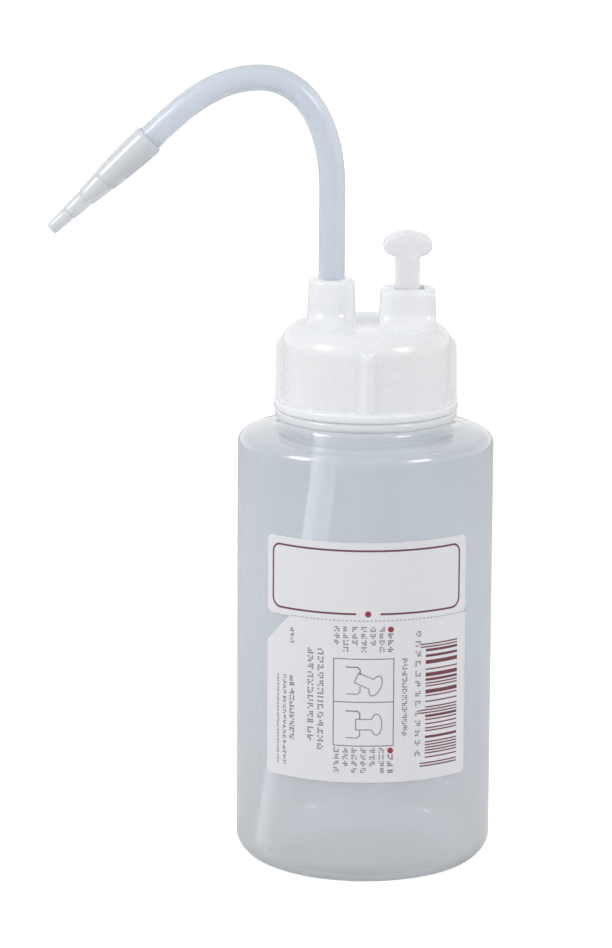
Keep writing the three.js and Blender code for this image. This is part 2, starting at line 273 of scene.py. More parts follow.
def cylinder(name, radius, start, end, sides=64):
    """Cylinder between two points in millimetres."""
    bm = bmesh.new()
    axis = Vector(end) - Vector(start)
    bmesh.ops.create_cone(
        bm, cap_ends=True, segments=sides, radius1=radius, radius2=radius, depth=axis.length
    )
    turn = axis.to_track_quat("Z", "Y").to_matrix().to_4x4()
    middle = (Vector(start) + Vector(end)) / 2
    bmesh.ops.transform(bm, matrix=Matrix.Translation(middle) @ turn, verts=bm.verts)
    return finish_mesh(name, bm)


def cuboid(name, low_corner, high_corner):
    """Box between two corners in millimetres."""
    bm = bmesh.new()
    a, b = Vector(low_corner), Vector(high_corner)
    size = b - a
    matrix = Matrix.Translation((a + b) / 2) @ Matrix.Diagonal((*size, 1))
    bmesh.ops.create_cube(bm, size=1, matrix=matrix)
    return finish_mesh(name, bm)


def helix_thread(name, root_r, crest_r, start_z):
    """Screw thread between two radii that runs out smoothly at both ends."""
    bm = bmesh.new()
    total = 360 * THREAD_TURNS
    rings = []
    for i in range(THREAD_STEPS + 1):
        degrees = total * i / THREAD_STEPS
        a = math.radians(degrees)
        z = start_z + THREAD_PITCH * degrees / 360
        grown = min(1, degrees / THREAD_FADE, (total - degrees) / THREAD_FADE)
        top = root_r + (crest_r - root_r) * max(0.25, math.sin(grown * math.pi / 2))
        section = [
            (root_r, -THREAD_ROOT_HALF),
            (top, -THREAD_CREST_HALF),
            (top, THREAD_CREST_HALF),
            (root_r, THREAD_ROOT_HALF),
        ]
        rings.append([bm.verts.new((r * math.cos(a), r * math.sin(a), z + h)) for r, h in section])
    for one, two in zip(rings, rings[1:]):
        for k in range(4):
            n = (k + 1) % 4
            bm.faces.new([one[k], one[n], two[n], two[k]])
    bm.faces.new(rings[0])
    bm.faces.new(rings[-1])
    return finish_mesh(name, bm)


# ---- material helpers ----

def ranged(tree, value, from_low, from_high, to_low, to_high):
    """Takes a value of a node tree from one range to another."""
    node = tree.nodes.new("ShaderNodeMapRange")
    node.inputs["From Min"].default_value = from_low
    node.inputs["From Max"].default_value = from_high
    node.inputs["To Min"].default_value = to_low
    node.inputs["To Max"].default_value = to_high
    tree.links.new(value, node.inputs["Value"])
    return node.outputs["Result"]


class Nodes:
    """Short names for building a node tree."""

    def __init__(self, name):
        self.material = bpy.data.materials.new(name)
        self.material.use_nodes = True
        self.tree = self.material.node_tree
        self.shader = self.tree.nodes["Principled BSDF"]
        self.coords = self.tree.nodes.new("ShaderNodeTexCoord").outputs["Object"]

    def add(self, kind, **settings):
        node = self.tree.nodes.new(kind)
        for key, value in settings.items():
            setattr(node, key, value)
        return node

    def link(self, source, target):
        self.tree.links.new(source, target)

    def stretched(self, scale):
        """Object coordinates scaled along each axis."""
        mapping = self.add("ShaderNodeMapping")
        mapping.inputs["Scale"].default_value = scale
        self.link(self.coords, mapping.inputs["Vector"])
        return mapping.outputs["Vector"]

    def noise(self, scale, detail=3, stretch=(1, 1, 1)):
        """Noise whose scale is in features for each metre."""
        node = self.add("ShaderNodeTexNoise")
        node.inputs["Scale"].default_value = scale
        node.inputs["Detail"].default_value = detail
        self.link(self.stretched(stretch), node.inputs["Vector"])
        return node.outputs["Fac"]

    def mapped(self, value, from_low, from_high, to_low, to_high):
        """Takes a value from one range to another."""
        return ranged(self.tree, value, from_low, from_high, to_low, to_high)

    def blend(self, factor, one, two):
        """Colour that goes from one to two with factor."""
        node = self.add("ShaderNodeMix", data_type="RGBA")
        self.link(factor, node.inputs[0])
        for socket, value in ((node.inputs[6], one), (node.inputs[7], two)):
            if isinstance(value, bpy.types.NodeSocket):
                self.link(value, socket)
            else:
                socket.default_value = (*value, 1)
        return node.outputs[2]

    def bump(self, height, distance, strength, below=None):
        """Surface detail of a height, on top of the detail below it."""
        node = self.add("ShaderNodeBump")
        node.inputs["Strength"].default_value = strength
        node.inputs["Distance"].default_value = distance
        self.link(height, node.inputs["Height"])
        if below is not None:
            self.link(below, node.inputs["Normal"])
        return node.outputs["Normal"]

    def height(self):
        """Height above the ground, in metres."""
        split = self.add("ShaderNodeSeparateXYZ")
        self.link(self.coords, split.inputs["Vector"])
        return split.outputs["Z"]

    def light_passes(self, tint):
        """Lets light from lamps through the surface with a tint, so that what is inside is lit."""
        clear = self.add("ShaderNodeBsdfTransparent")
        clear.inputs["Color"].default_value = (*tint, 1)
        path = self.add("ShaderNodeLightPath")
        mix = self.add("ShaderNodeMixShader")
        self.link(path.outputs["Is Shadow Ray"], mix.inputs[0])
        self.link(self.shader.outputs["BSDF"], mix.inputs[1])
        self.link(clear.outputs["BSDF"], mix.inputs[2])
        output = next(n for n in self.tree.nodes if n.type == "OUTPUT_MATERIAL")
        self.link(mix.outputs["Shader"], output.inputs["Surface"])

    def set(self, **values):
        """Sets the shader's own sockets; underscores stand for spaces."""
        for key, value in values.items():
            socket = self.shader.inputs[key.replace("_", " ")]
            if isinstance(value, bpy.types.NodeSocket):
                self.link(value, socket)
            else:
                socket.default_value = value


def moulded_plastic(name, light, dark, roughness, clear=0.0, subsurface=0.0):
    """Moulded polyolefin: faint cloudiness, uneven gloss and a fine waviness in its skin."""
    n = Nodes(name)
    cloud = n.noise(60, detail=2)
    colour = n.blend(n.mapped(cloud, 0.3, 0.7, 0, 1), light, dark)
    gloss = n.mapped(n.noise(320, detail=2), 0.3, 0.7, roughness - 0.02, roughness + 0.03)
    waves = n.bump(n.noise(90, detail=1), mm(0.03), 0.08)
    skin = n.bump(n.noise(700, detail=1), mm(0.002), 0.08, below=waves)
    n.set(Base_Color=colour, Roughness=gloss, Normal=skin, IOR=1.45)
    n.set(Coat_Weight=0.5, Coat_Roughness=0.12)
    n.light_passes((0.55, 0.56, 0.57))
    if clear:
        n.set(Transmission_Weight=clear)
    if subsurface:
        n.set(Subsurface_Weight=subsurface, Subsurface_Radius=(0.9, 0.95, 1.0))
        n.set(Subsurface_Scale=mm(2.5))
    return n.material


def bottle_plastic():
    """Blow-moulded polyethylene: milky, streaked along the wall, whiter where it is thick, and painted
    darker towards the ground as painted shade.
    """
    n = Nodes("natural_polyethylene_bottle")
    streaks = n.noise(90, detail=3, stretch=(1, 1, 0.12))
    wall = n.blend(n.mapped(streaks, 0.3, 0.7, 0, 1), (0.825, 0.855, 0.895), (0.80, 0.83, 0.87))
    thick = n.mapped(n.height(), mm(SHOULDER_TOP_Z - 1.2), mm(SHOULDER_TOP_Z + 0.6), 0, 1)
    # Painted shade: towards the ground the wall is painted a darker, greyer tone.
    shaded_low_down = n.mapped(n.height(), mm(38), mm(12), 0, 1)
    wall = n.blend(shaded_low_down, wall, (0.80, 0.81, 0.83))
    colour = n.blend(thick, wall, (0.90, 0.91, 0.925))
    gloss = n.mapped(n.noise(260, detail=4), 0.3, 0.7, 0.06, 0.11)
    waves = n.bump(n.noise(45, detail=1, stretch=(1, 1, 0.5)), mm(0.1), 0.12)
    skin = n.bump(n.noise(2600, detail=2), mm(0.004), 0.25, below=waves)
    n.set(Base_Color=colour, Roughness=gloss, Normal=skin, IOR=1.3)
    n.set(Transmission_Weight=n.mapped(thick, 0, 1, 0.7, 0.2))
    n.set(Coat_Weight=0.8, Coat_Roughness=0.07, Coat_IOR=1.5)
    n.light_passes((0.9, 0.92, 0.94))
    return n.material


def tube_plastic():
    """Extruded polyethylene tube with faint die lines along it; from the deck down into the bottle it
    is painted whiter, less clear and faintly glowing, painted light that lights up the dip tube.
    """
    n = Nodes("natural_polyethylene_tube")
    lines = n.noise(700, detail=2, stretch=(1, 1, 0.08))
    wall = n.blend(n.mapped(lines, 0.3, 0.7, 0, 1), (0.82, 0.86, 0.91), (0.79, 0.83, 0.88))
    # Painted light: from the deck down into the bottle the tube is painted whiter, with less
    # transmission, standing in for light that reaches the dip tube.
    inside = n.mapped(n.height(), mm(DECK_Z), mm(SHOULDER_BEND_Z), 0, 1)
    colour = n.blend(inside, wall, (0.95, 0.95, 0.96))
    gloss = n.mapped(n.noise(400, detail=3), 0.3, 0.7, 0.16, 0.24)
    skin = n.bump(lines, mm(0.008), 0.3)
    n.set(Base_Color=colour, Roughness=gloss, Normal=skin, IOR=1.4)
    n.set(Transmission_Weight=n.mapped(inside, 0, 1, 0.62, 0.1))
    # Painted glow: the dip tube inside the bottle emits faint light though it is no lamp.
    n.set(Emission_Color=(1, 0.97, 0.95, 1), Emission_Strength=n.mapped(inside, 0, 1, 0, 0.09))
    n.light_passes((0.92, 0.94, 0.96))
    return n.material


def label_film():
    """Matte white printed film with a fine fibre-like grain."""
    n = Nodes("label_film")
    grain = n.noise(2200, detail=4)
    colour = n.blend(n.mapped(grain, 0.35, 0.65, 0, 1), (0.80, 0.80, 0.84), (0.77, 0.77, 0.81))
    gloss = n.mapped(n.noise(500, detail=2), 0.3, 0.7, 0.42, 0.55)
    skin = n.bump(n.noise(1500, detail=3), mm(0.006), 0.4)
    n.set(Base_Color=colour, Roughness=gloss, Normal=skin)
    return n.material


def ink(name, deep, thin):
    """Print that is a little uneven where the screen lets the film through."""
    n = Nodes(name)
    dots = n.noise(5200, detail=2)
    colour = n.blend(n.mapped(dots, 0.35, 0.7, 0, 1), deep, thin)
    gloss = n.mapped(n.noise(900), 0.3, 0.7, 0.35, 0.5)
    n.set(Base_Color=colour, Roughness=gloss)
    return n.material


def gasket_foam():
    """Closed-cell foam sheet."""
    n = Nodes("gasket_foam")
    cells = n.add("ShaderNodeTexVoronoi")
    cells.inputs["Scale"].default_value = 2600
    n.link(n.coords, cells.inputs["Vector"])
    distance = cells.outputs["Distance"]
    colour = n.blend(n.mapped(distance, 0, 0.7, 0, 1), (0.88, 0.87, 0.82), (0.78, 0.77, 0.72))
    n.set(Base_Color=colour, Normal=n.bump(distance, mm(0.05), 0.6), Roughness=0.7)
    return n.material


def dress(obj, material, body, slot, *nodes):
    """Gives a piece its material, its body and the CAD nodes that it stands for; the slot is not used.
    """
    obj.data.materials.clear()
    obj.data.materials.append(material)
    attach(obj, body)
    if nodes:
        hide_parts(*nodes)
    return obj


# ---- camera, floor and light ----

def make_camera():
    """Long lens a little above the bottle's middle, looking along +Y."""
    aim = mm(-14.4, 0, 95.95)
    distance = 1.25
    tilt = math.radians(12)
    roll = math.radians(0.34)
    frame_height = mm(230.1)
    data = bpy.data.cameras.new("camera")
    data.sensor_width = 36
    data.lens = data.sensor_width * distance / frame_height
    data.clip_end = 50
    camera = bpy.data.objects.new("camera", data)
    back = Vector((0, -math.cos(tilt), math.sin(tilt)))
    camera.location = aim + back * distance
    camera.rotation_mode = "QUATERNION"
    upright = (-back).to_track_quat("-Z", "Y")
    camera.rotation_quaternion = upright @ Matrix.Rotation(roll, 3, "Z").to_quaternion()
    bpy.context.scene.collection.objects.link(camera)
    bpy.context.scene.camera = camera


def make_floor():
    """Wide pale sheet under the bottle."""
    bm = bmesh.new()
    bmesh.ops.create_grid(bm, x_segments=1, y_segments=1, size=8000)
    floor = finish_mesh("floor", bm, smooth_angle=0)
    n = Nodes("pale_floor")
    tone = n.noise(6, detail=2)
    n.set(Base_Color=n.blend(tone, (0.72, 0.72, 0.72), (0.70, 0.70, 0.70)), Roughness=0.9)
    path = n.add("ShaderNodeLightPath")
    seen = n.mapped(path.outputs["Is Camera Ray"], 0, 1, 0, 0.65)
    n.set(Emission_Color=(1, 1, 1, 1), Emission_Strength=seen)
    floor.data.materials.append(n.material)


def softbox(name, azimuth, elevation, distance, width, height, power):
    """Area light aimed at the bottle; azimuth 0 is the front and 90 the right."""
    data = bpy.data.lights.new(name, "AREA")
    data.shape = "RECTANGLE"
    data.size = width
    data.size_y = height
    data.energy = power
    light = bpy.data.objects.new(name, data)
    a, e = math.radians(azimuth), math.radians(elevation)
    back = Vector((math.sin(a) * math.cos(e), -math.cos(a) * math.cos(e), math.sin(e)))
    light.location = mm(0, 0, 110) + back * distance
    light.rotation_mode = "QUATERNION"
    light.rotation_quaternion = (-back).to_track_quat("-Z", "Y")
    bpy.context.scene.collection.objects.link(light)


def make_light():
    """Bright even surround with a softbox on each side of the front."""
    world = bpy.data.worlds.new("studio")
    world.use_nodes = True
    tree = world.node_tree
    coords = tree.nodes.new("ShaderNodeTexCoord")
    split = tree.nodes.new("ShaderNodeSeparateXYZ")
    both = tree.nodes.new("ShaderNodeMath")
    both.operation = "MULTIPLY"
    tree.links.new(coords.outputs["Generated"], split.inputs["Vector"])
    dim_overhead = ranged(tree, split.outputs["Z"], 0, 1, 1.0, 0.48)
    dim_in_front = ranged(tree, split.outputs["Y"], -1, 0.2, 0.9, 1.05)
    tree.links.new(dim_overhead, both.inputs[0])
    tree.links.new(dim_in_front, both.inputs[1])
    tree.links.new(both.outputs["Value"], tree.nodes["Background"].inputs["Strength"])
    tree.nodes["Background"].inputs["Color"].default_value = (1, 1, 1, 1)
    bpy.context.scene.world = world
    softbox("left_softbox", -68, 33, 0.9, 0.32, 0.32, 2.6)
    softbox("right_softbox", 54, 33, 0.9, 0.28, 0.28, 1.8)
    bpy.context.scene.view_settings.view_transform = "Standard"


# ---- bottle ----

def make_bottle():
    """Blow-moulded shell turned from one profile, with the thread joined to its neck."""
    base_r = BODY_R - BASE_CORNER_W
    bend_r = BODY_R - SHOULDER_CORNER
    cove_r = BEAD_R - 1 + COVE_W
    inner_r = BODY_R - BODY_WALL
    span = SHOULDER_BEND_Z - BASE_CORNER_H
    rows = range(1, SIDE_STEPS)
    outer_side = [(BODY_R, BASE_CORNER_H + span * k / SIDE_STEPS) for k in rows]
    inner_side = [(inner_r, SHOULDER_BEND_Z - span * k / SIDE_STEPS) for k in rows]
    profile = [
        (0, 0),
        *ellipse(base_r, BASE_CORNER_H, BASE_CORNER_W, BASE_CORNER_H, -90, 0, 24),
        *outer_side,
        *arc(bend_r, SHOULDER_BEND_Z, SHOULDER_CORNER, 0, 78, 16),
        *ellipse(cove_r, SHOULDER_TOP_Z, COVE_W, COVE_H, 268, 180, 12),
        *arc(BEAD_R - 1.1, SHOULDER_TOP_Z + 1.15, 1.1, -60, 0, 7),
        *arc(BEAD_R - 0.8, BEAD_TOP_Z - 0.8, 0.8, 0, 80, 7),
        (NECK_R + 0.5, BEAD_TOP_Z),
        (NECK_R, BEAD_TOP_Z + 0.5),
        *arc(NECK_R - 0.3, RIM_Z - 0.3, 0.3, 0, 90, 4),
        *arc(NECK_BORE + 0.3, RIM_Z - 0.3, 0.3, 90, 180, 4),
        (NECK_BORE, SHOULDER_TOP_Z + 1.4),
        (NECK_BORE + 0.5, SHOULDER_TOP_Z + 0.9),
        *ellipse(cove_r, SHOULDER_TOP_Z, COVE_W + BODY_WALL, COVE_H + BODY_WALL, 182, 268, 12),
        *arc(bend_r, SHOULDER_BEND_Z, SHOULDER_CORNER - BODY_WALL, 78, 0, 16),
        *inner_side,
        *ellipse(
            base_r, BASE_CORNER_H, BASE_CORNER_W - BODY_WALL, BASE_CORNER_H - BODY_WALL, 0, -90, 24
        ),
        (0, BODY_WALL),
    ]
    bm = bmesh.new()
    lathe(bm, profile, 160)
    bottle = finish_mesh("bottle_shell", bm, 40)
    thread = helix_thread("neck_thread", NECK_R - 0.5, NECK_R + THREAD_HEIGHT, THREAD_START_Z)
    boolean(bottle, thread, "UNION")
    return dress(bottle, bottle_plastic(), "bottle_body", "bottle_plastic", "bottle")


# ---- cap ----

def make_rib(turn):
    """Grip rib with rounded edges and a soft root, at an angle round the skirt."""
    crown_z = RIB_TOP_Z - RIB_CROWN
    section = [(-RIB_HALF, -0.5)]
    for k in range(25):
        across = RIB_HALF * (k / 12 - 1)
        swell = 0.5 + 0.5 * math.cos(math.pi * across / RIB_HALF)
        section.append((across, (RIB_R - SKIRT_R) * swell))
    section.append((RIB_HALF, -0.5))
    levels = [(CAP_BOTTOM_Z + 0.8, 1), (crown_z, RIB_CROWN_RISE)]
    for angle in range(10, 91, 10):
        a = math.radians(angle)
        levels.append((crown_z + RIB_CROWN * math.sin(a), RIB_CROWN_RISE * math.cos(a) + 0.001))
    rings = []
    for z, rise in levels:
        ring = []
        for across, out in section:
            r = SKIRT_R + (out * rise if out > 0 else out)
            a = turn + across / SKIRT_R
            ring.append((r * math.cos(a), r * math.sin(a), z))
        rings.append(ring)
    return lofted("rib", rings)


def make_boss(name, x, half_w, half_d, corner, draft, rounding, top):
    """Boss on the deck with tapered sides and a foot that runs out to front and back."""
    def ring(z, reach, inset):
        taper = inset + draft * max(0, z - DECK_Z) / (top - DECK_Z)
        c = min(corner - taper + FOOT_CORNER * reach, half_w - taper - 0.001)
        dx = half_w - taper - c
        dy = half_d - taper + reach - c
        points = [
            *arc(x + dx, dy, c, 0, 90, 12),
            *arc(x - dx, dy, c, 90, 180, 12),
            *arc(x - dx, -dy, c, 180, 270, 12),
            *arc(x + dx, -dy, c, 270, 360, 12),
        ]
        return [(px, py, z) for px, py in points]

    rings = [ring(DECK_Z - 2.2, RUN_OUT, 0)]
    for reach, z in ellipse(RUN_OUT, DECK_Z - 0.15 + RUN_UP, RUN_OUT, RUN_UP, 270, 180, 14):
        rings.append(ring(z, reach, 0))
    for inset, z in arc(-rounding, top - rounding, rounding, 0, 90, 8):
        rings.append(ring(z, 0, -inset))
    return lofted(name, rings)


def make_cap():
    """Screw cap: a turned shell with ribs, bosses and thread joined on, and its holes cut."""
    skirt_foot = FLANGE_TOP_Z + 0.5
    skirt_rise = DECK_Z - DECK_CORNER - FLANGE_TOP_Z - 0.5
    bm = bmesh.new()
    lathe(bm, [
        (0, DECK_UNDER_Z),
        (CAP_INNER_R - 0.6, DECK_UNDER_Z),
        (CAP_INNER_R, DECK_UNDER_Z - 0.6),
        *arc(CAP_INNER_R + 0.4, CAP_BOTTOM_Z + 0.4, 0.4, 180, 270, 4),
        *arc(FLANGE_R - 0.6, CAP_BOTTOM_Z + 0.6, 0.6, 270, 360, 8),
        *arc(FLANGE_R - 0.6, FLANGE_TOP_Z - 0.6, 0.6, 0, 80, 6),
        (SKIRT_R + 0.35, FLANGE_TOP_Z + 0.1),
        (SKIRT_R, skirt_foot),
        *[(SKIRT_R, skirt_foot + skirt_rise * k / 6) for k in range(1, 6)],
        *arc(SKIRT_R - DECK_CORNER, DECK_Z - DECK_CORNER, DECK_CORNER, 0, 90, 16),
        *[(SKIRT_R - DECK_CORNER - inset, DECK_Z) for inset in (0.5, 2.5, 5, 8, 11)],
        (0, DECK_Z),
    ], 144)
    cap = finish_mesh("screw_cap_moulding", bm, 40)
    for k in range(4):
        boolean(cap, make_rib(math.radians(90 * k)), "UNION")
    spout_boss = make_boss(
        "spout_boss", TUBE_X, half_w=SPOUT_BOSS_R, half_d=SPOUT_BOSS_R, corner=SPOUT_BOSS_R,
        draft=0.45, rounding=1, top=SPOUT_BOSS_TOP_Z
    )
    boolean(cap, spout_boss, "UNION")
    cock_boss = make_boss(
        "cock_boss", COCK_BOSS_X, half_w=6.9, half_d=5.75, corner=3,
        draft=0.35, rounding=1.5, top=COCK_BOSS_TOP_Z
    )
    boolean(cap, cock_boss, "UNION")
    crest_r = CAP_INNER_R - THREAD_HEIGHT
    thread = helix_thread("cap_thread", CAP_INNER_R + 0.6, crest_r, THREAD_START_Z - CAP_THREAD_DROP)
    boolean(cap, thread, "UNION")
    under_deck = (TUBE_X, 0, DECK_UNDER_Z - 2)
    over_boss = (TUBE_X, 0, SPOUT_BOSS_TOP_Z + 2)
    boolean(cap, cylinder("tube_bore", TUBE_HOLE_R, under_deck, over_boss), "DIFFERENCE")
    left = COCK_X - STEM_W / 2 - COCK_GAP
    right = COCK_X + STEM_W / 2 + LEAN_GAP
    deep = COCK_T / 2 + COCK_GAP
    well = cuboid("well", (left, -deep, PIVOT_Z), (right, deep, COCK_BOSS_TOP_Z + 1))
    boolean(cap, well, "DIFFERENCE")
    seat_r = STEM_W / 2 + SEAT_GAP
    seat = cylinder("seat", seat_r, (COCK_X, -deep, PIVOT_Z), (COCK_X, deep, PIVOT_Z))
    boolean(cap, seat, "DIFFERENCE")
    front_end = (COCK_X, -deep - BEARING_REACH, PIVOT_Z)
    back_end = (COCK_X, deep + BEARING_REACH, PIVOT_Z)
    boolean(cap, cylinder("bearing", BEARING_R, front_end, back_end, 32), "DIFFERENCE")
    vent = cylinder("vent", VENT_R, (COCK_X, 0, DECK_UNDER_Z - 2), (COCK_X, 0, PIVOT_Z), 24)
    boolean(cap, vent, "DIFFERENCE")
    cap.data.shade_smooth()
    cap.data.set_sharp_from_angle(angle=math.radians(32))
    material = moulded_plastic(
        "natural_polypropylene", (0.865, 0.875, 0.895), (0.835, 0.85, 0.875), 0.27, subsurface=0.4
    )
    return dress(cap, material, "cap", "cap_plastic", "screw_cap")


def make_gasket():
    """Flat foam ring under the cap's deck."""
    lo, hi = low("cap_gasket"), high("cap_gasket")
    bm = bmesh.new()
    inner, outer = GASKET_INNER_R, hi.y
    lathe(bm, [
        *arc(outer - 0.2, lo.z + 0.2, 0.2, -90, 0, 3),
        *arc(outer - 0.2, hi.z - 0.2, 0.2, 0, 90, 3),
        *arc(inner + 0.2, hi.z - 0.2, 0.2, 90, 180, 3),
        *arc(inner + 0.2, lo.z + 0.2, 0.2, 180, 270, 3),
    ], 96, closed=True)
    gasket = finish_mesh("gasket_ring", bm)
    return dress(gasket, gasket_foam(), "seal", "seal_foam", "cap_gasket")


# ---- spout ----

def bezier(p0, p1, p2, p3, steps):
    """Points of a cubic curve, without its last one."""
    points = []
    for i in range(steps):
        t = i / steps
        s = 1 - t
        points.append(p0 * s ** 3 + p1 * (3 * t * s ** 2) + p2 * (3 * t * t * s) + p3 * t ** 3)
    return points


def spout_points():
    """Centreline from the end inside the jet tip to the foot of the dip tube."""
    along = Vector((-math.cos(SPOUT_DROP), 0, -math.sin(SPOUT_DROP)))
    bend_foot = Vector((TUBE_X, 0, BEND_START_Z))
    dip_start = Vector((TUBE_X, 0, BEND_START_Z - STRAIGHT))
    dip_end = dip_start + DIP
    up = Vector((0, 0, 1))
    points = [MOUTH + along * 11, MOUTH + along * 5]
    points += bezier(MOUTH, MOUTH - along * 9, APEX + Vector((-12, 0, 0)), APEX, 32)
    points += bezier(APEX, APEX + Vector((10.5, 0, 0)), bend_foot + up * 15.5, bend_foot, 32)
    points += [bend_foot.lerp(dip_start, k / 6) for k in range(6)]
    points += bezier(dip_start, dip_start - up * 27, dip_end + Vector((5.6, 0, 38)), dip_end, 32)
    points.append(dip_end)
    return points


def make_tube():
    """Tube swept along its centreline, bored through from end to end."""
    bm = bmesh.new()
    points = spout_points()
    sides = 48
    across = Vector((0, 1, 0))
    outer, inner = [], []
    for i, point in enumerate(points):
        tangent = points[min(i + 1, len(points) - 1)] - points[max(i - 1, 0)]
        side = across.cross(tangent.normalized())
        for rings, radius in ((outer, TUBE_R), (inner, TUBE_BORE)):
            ring = []
            for k in range(sides):
                a = 2 * math.pi * k / sides
                ring.append(bm.verts.new(point + (across * math.cos(a) + side * math.sin(a)) * radius))
            rings.append(ring)
    for rings in (outer, inner):
        for one, two in zip(rings, rings[1:]):
            for k in range(sides):
                n = (k + 1) % sides
                bm.faces.new([one[k], one[n], two[n], two[k]])
    for end in (0, -1):
        for k in range(sides):
            n = (k + 1) % sides
            bm.faces.new([outer[end][k], outer[end][n], inner[end][n], inner[end][k]])
    tube = finish_mesh("spout_and_dip_tube", bm, 50)
    return dress(tube, tube_plastic(), "spout", "tube_plastic", "spout_tube")


def make_tip():
    """Jet tip turned from (radius, distance from the mouth) and set on the spout's end."""
    bm = bmesh.new()
    outside = [(3.35, 0), (3.62, 0.15), (3.8, 0.6), (3.85, 1.2), (3.83, 3), (3.72, 6)]
    outside += [(3.5, 9.5), (3.3, 12.6)]
    # Three steps, each with a rounded edge and the radii before and after it.
    for distance, before, after in ((14.9, 3.1, 2.85), (21.1, 2.4, 2.15), (26.6, 1.95, 1.75)):
        outside += [
            (before, distance - 0.5),
            (before - 0.08, distance - 0.15),
            (after - 0.12, distance + 0.1),
            (after - 0.08, distance + 0.35),
            (after + 0.02, distance + 0.9),
        ]
    outside += [(1.6, 31.2), (1.52, 32), (1.4, 32.4), (1.2, TIP_LENGTH)]
    inside = [
        (0.9, TIP_LENGTH),
        (JET_R, TIP_LENGTH - 0.3),
        (JET_R, 21.1),
        (2.25, 12.5),
        (SOCKET_R, 11.6),
        (SOCKET_R, 0.4),
    ]
    lathe(bm, outside + inside, 64, closed=True)
    turn = Matrix.Rotation(-(math.pi / 2 + SPOUT_DROP), 4, "Y")
    bmesh.ops.transform(bm, matrix=Matrix.Translation(MOUTH) @ turn, verts=bm.verts)
    tip = finish_mesh("jet_tip_moulding", bm, 30)
    material = moulded_plastic(
        "natural_polyethylene_tip", (0.86, 0.88, 0.91), (0.83, 0.85, 0.88), 0.22, clear=0.4
    )
    return dress(tip, material, "tip", "tip_plastic", "jet_tip")


# ---- vent cock ----

def make_cock():
    """Thumb lever: round foot, flat stem and oval head in one outline, on two pins."""
    half = STEM_W / 2
    neck = math.degrees(math.acos(STEM_W / HEAD_W))
    outline = arc(0, 0, half, 180, 360, 24)
    for i in range(49):
        a = math.radians(-neck + (180 + 2 * neck) * i / 48)
        rise = HEAD_RISE if math.sin(a) > 0 else HEAD_FALL
        outline.append((HEAD_W / 2 * math.cos(a), HEAD_UP + rise * math.sin(a)))
    outline = [(COCK_X + x, PIVOT_Z + z) for x, z in outline]
    cock = extruded("vent_cock_lever", outline, COCK_T)
    bevel(cock, 0.55, 4, 60)
    span = COCK_T / 2 + PIN_REACH
    pins = cylinder("pins", PIN_R, (COCK_X, -span, PIVOT_Z), (COCK_X, span, PIVOT_Z), 32)
    boolean(cock, pins, "UNION")
    cock.data.shade_smooth()
    cock.data.set_sharp_from_angle(angle=math.radians(35))
    material = moulded_plastic(
        "natural_polypropylene_cock", (0.83, 0.83, 0.86), (0.80, 0.805, 0.835), 0.27, subsurface=0.4
    )
    return dress(cock, material, "cock", "cock_plastic", "vent_cock")


# ---- labels ----

def wrapped(name, outlines, radius, thickness):
    """Flat outlines (arc length, height) bent round the bottle's front and given a thickness."""
    bm = bmesh.new()
    for outline in outlines:
        bm.faces.new([bm.verts.new((u, 0, v)) for u, v in outline])
    us = [v.co.x for v in bm.verts]
    cut = min(us) + WRAP_STEP
    while cut < max(us):
        geom = bm.verts[:] + bm.edges[:] + bm.faces[:]
        bmesh.ops.bisect_plane(bm, geom=geom, plane_co=(cut, 0, 0), plane_no=(1, 0, 0))
        cut += WRAP_STEP
    front = bmesh.ops.extrude_face_region(bm, geom=bm.faces[:], use_keep_orig=True)["geom"]
    raised = {g for g in front if isinstance(g, bmesh.types.BMVert)}
    for v in bm.verts:
        a = LABEL_CENTRE + v.co.x / radius
        r = radius + (thickness if v in raised else 0)
        v.co = (r * math.sin(a), -r * math.cos(a), v.co.z)
    return finish_mesh(name, bm, 30)


def rounded(left, bottom, right, top, corner):
    """Rectangle with rounded corners, anticlockwise."""
    steps = LABEL_CORNER_STEPS
    return [
        *arc(right - corner, bottom + corner, corner, -90, 0, steps),
        *arc(right - corner, top - corner, corner, 0, 90, steps),
        *arc(left + corner, top - corner, corner, 90, 180, steps),
        *arc(left + corner, bottom + corner, corner, 180, 270, steps),
    ]


def bar(left, bottom, right, top):
    """Upright rectangle."""
    return [(left, bottom), (right, bottom), (right, top), (left, top)]


def disc(u, v, radius):
    """Round dot."""
    return arc(u, v, radius, 0, 360 - 360 / DOT_SIDES, DOT_SIDES - 1)


def stroke(points, width):
    """Quadrilaterals that follow a line of points, slightly overlapping at the bends."""
    shapes = []
    for (u1, v1), (u2, v2) in zip(points, points[1:]):
        length = math.hypot(u2 - u1, v2 - v1)
        du, dv = (u2 - u1) / length * width / 2, (v2 - v1) / length * width / 2
        shapes.append([
            (u1 - du - dv, v1 - dv + du),
            (u1 - du + dv, v1 - dv - du),
            (u2 + du + dv, v2 + dv - du),
            (u2 + du - dv, v2 + dv + du),
        ])
    return shapes


def greeked(rng, u, bottom, top, pitch, size, skip=0.0):
    """Column of meaningless marks that stands in for a line of text turned on its side."""
    shapes = []
    cell = size / 3
    v = top
    while v - size > bottom:
        if rng.random() >= skip:
            for k in rng.sample(range(9), 6):
                left = u - size / 2 + (k % 3) * cell
                high_v = v - (k // 3) * cell
                shapes.append(bar(left, high_v - cell * 0.62, left + cell * 0.78, high_v))
        v -= pitch
    return shapes


def stripes(rng, left, right, bottom, top):
    """Random stripes in the manner of a bar code; they encode nothing."""
    guards = (0, 1, 14, 15, 28, 29)
    plan = []
    for k in range(30):
        thick = 1 if k in guards else rng.choice((1, 1, 1, 1, 2, 2, 3))
        gap = 1 if k in guards else rng.choice((1, 1, 2, 2, 3))
        plan.append((thick, gap, 1.4 if k in guards else 0))
    unit = (top - bottom) / (sum(thick + gap for thick, gap, _ in plan) - plan[-1][1])
    shapes = []
    v = top
    for thick, gap, reach in plan:
        shapes.append(bar(left - reach, v - thick * unit * 0.9, right, v))
        v -= (thick + gap) * unit
    return shapes


